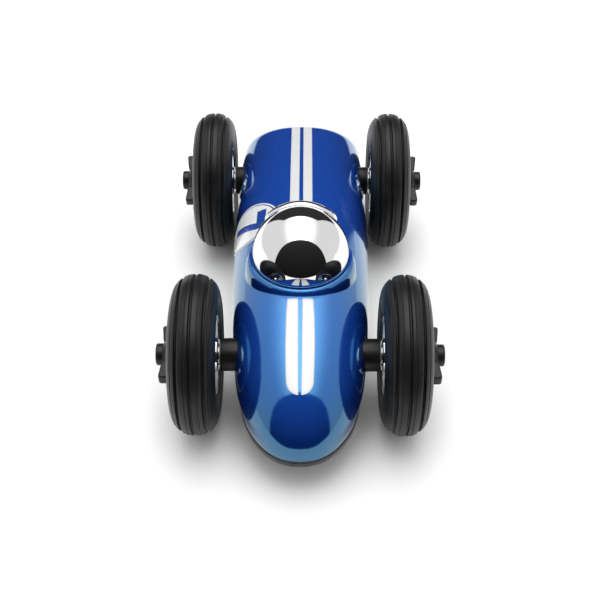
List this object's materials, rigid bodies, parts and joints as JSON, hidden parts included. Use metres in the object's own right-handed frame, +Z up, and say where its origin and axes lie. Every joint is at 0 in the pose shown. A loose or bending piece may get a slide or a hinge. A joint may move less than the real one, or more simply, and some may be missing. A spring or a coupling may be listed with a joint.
{
  "type": "toy racing car",
  "caption": "Free-rolling toy racing car with a rounded one-piece body, ball head, headrest and ribbed balloon tyres on two turning axles.",
  "frame": {"origin": "on the ground under the middle of the car's bounding box", "axes": "+Z up, -Y towards the nose, +X to the right as seen from in front of the nose looking at the car"},
  "size_m": [0.155, 0.2753, 0.105],
  "materials": {
    "body_blue": "metallic blue lacquer, high gloss",
    "tray_black": "black, fine satin",
    "head_plated": "mirror plating",
    "rim_plated": "mirror plating",
    "marking_white": "white gloss print",
    "marking_blue": "blue gloss print",
    "tyre_black": "satin rubber",
    "spinner_black": "black satin",
    "sleeve_black": "black satin",
    "bush_plastic": "natural",
    "axle_steel": "bright drawn",
    "screw_steel": "zinc plated"
  },
  "bodies": {
    "body": {"body_shell": "body_blue", "chassis_tray": "tray_black", "chassis_screws": "screw_steel", "helmet": "head_plated", "helmet_screw": "screw_steel", "headrest": "head_plated", "stripe_front_left": "marking_white", "stripe_front_right": "marking_white", "stripe_rear_left": "marking_white", "stripe_rear_right": "marking_white", "number_disc": "marking_white", "number_ring": "marking_white", "number_digit": "marking_blue", "axle_sleeve_front_left": "sleeve_black", "axle_bush_front_left": "bush_plastic", "axle_sleeve_front_right": "sleeve_black", "axle_bush_front_right": "bush_plastic", "axle_sleeve_rear_left": "sleeve_black", "axle_bush_rear_left": "bush_plastic", "axle_sleeve_rear_right": "sleeve_black", "axle_bush_rear_right": "bush_plastic"},
    "front_wheels": {"axle_front": "axle_steel", "axle_washer_front_left": "axle_steel", "rim_front_left": "rim_plated", "tyre_front_left": "tyre_black", "spinner_front_left": "spinner_black", "axle_washer_front_right": "axle_steel", "rim_front_right": "rim_plated", "tyre_front_right": "tyre_black", "spinner_front_right": "spinner_black"},
    "rear_wheels": {"axle_rear": "axle_steel", "axle_washer_rear_left": "axle_steel", "rim_rear_left": "rim_plated", "tyre_rear_left": "tyre_black", "spinner_rear_left": "spinner_black", "axle_washer_rear_right": "axle_steel", "rim_rear_right": "rim_plated", "tyre_rear_right": "tyre_black", "spinner_rear_right": "spinner_black"}
  },
  "joints": [
    {"name": "front_axle_roll", "type": "hinge", "parent": "body", "child": "front_wheels", "pos_m": [0, -0.078, 0.0435], "axis": [1, 0, 0], "continuous": true},
    {"name": "rear_axle_roll", "type": "hinge", "parent": "body", "child": "rear_wheels", "pos_m": [0, 0.0865, 0.0435], "axis": [1, 0, 0], "continuous": true}
  ]
}
